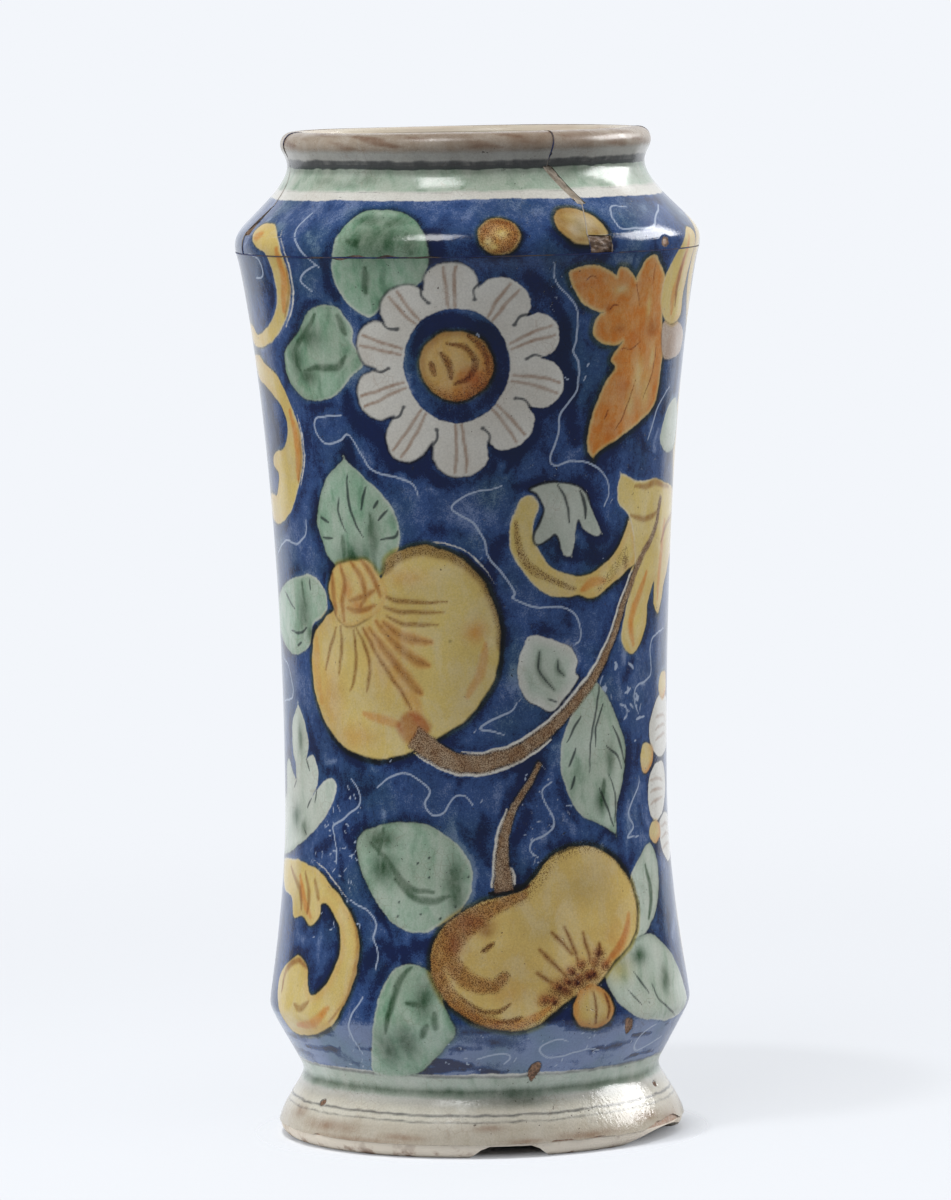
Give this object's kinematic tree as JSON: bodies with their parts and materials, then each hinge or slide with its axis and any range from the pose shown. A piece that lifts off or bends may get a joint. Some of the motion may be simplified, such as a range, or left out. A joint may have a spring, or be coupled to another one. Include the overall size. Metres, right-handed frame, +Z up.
{
  "type": "albarello drug jar",
  "caption": "Waisted tin-glazed earthenware drug jar with painted fruit and flowers, broken round the shoulder and glued together again.",
  "frame": {"origin": "on the jar's axis, in the plane that the foot ring stands on", "axes": "+Z up along the jar's axis; -Y is the front in the picture; +X is the picture's right"},
  "size_m": [0.1338, 0.1338, 0.29],
  "materials": {
    "clay": "bare fired earthenware, porous and matt",
    "painted_glaze": "glossy white tin glaze painted in cobalt, green, yellow, orange and brown",
    "lining_glaze": "plain off-white glaze, stained",
    "glue": "old brown glue",
    "fill": "rough brown putty"
  },
  "bodies": {
    "root": {"body_clay": "clay", "front_sherd_clay": "clay", "right_sherd_clay": "clay", "back_sherd_clay": "clay", "body_glaze": "painted_glaze", "front_sherd_glaze": "painted_glaze", "right_sherd_glaze": "painted_glaze", "back_sherd_glaze": "painted_glaze", "body_lining": "lining_glaze", "front_sherd_lining": "lining_glaze", "right_sherd_lining": "lining_glaze", "back_sherd_lining": "lining_glaze", "shoulder_glue": "glue", "front_glue": "glue", "left_glue": "glue", "right_glue": "glue", "neck_fill": "fill", "shoulder_fill": "fill", "left_fill": "fill"}
  },
  "joints": []
}
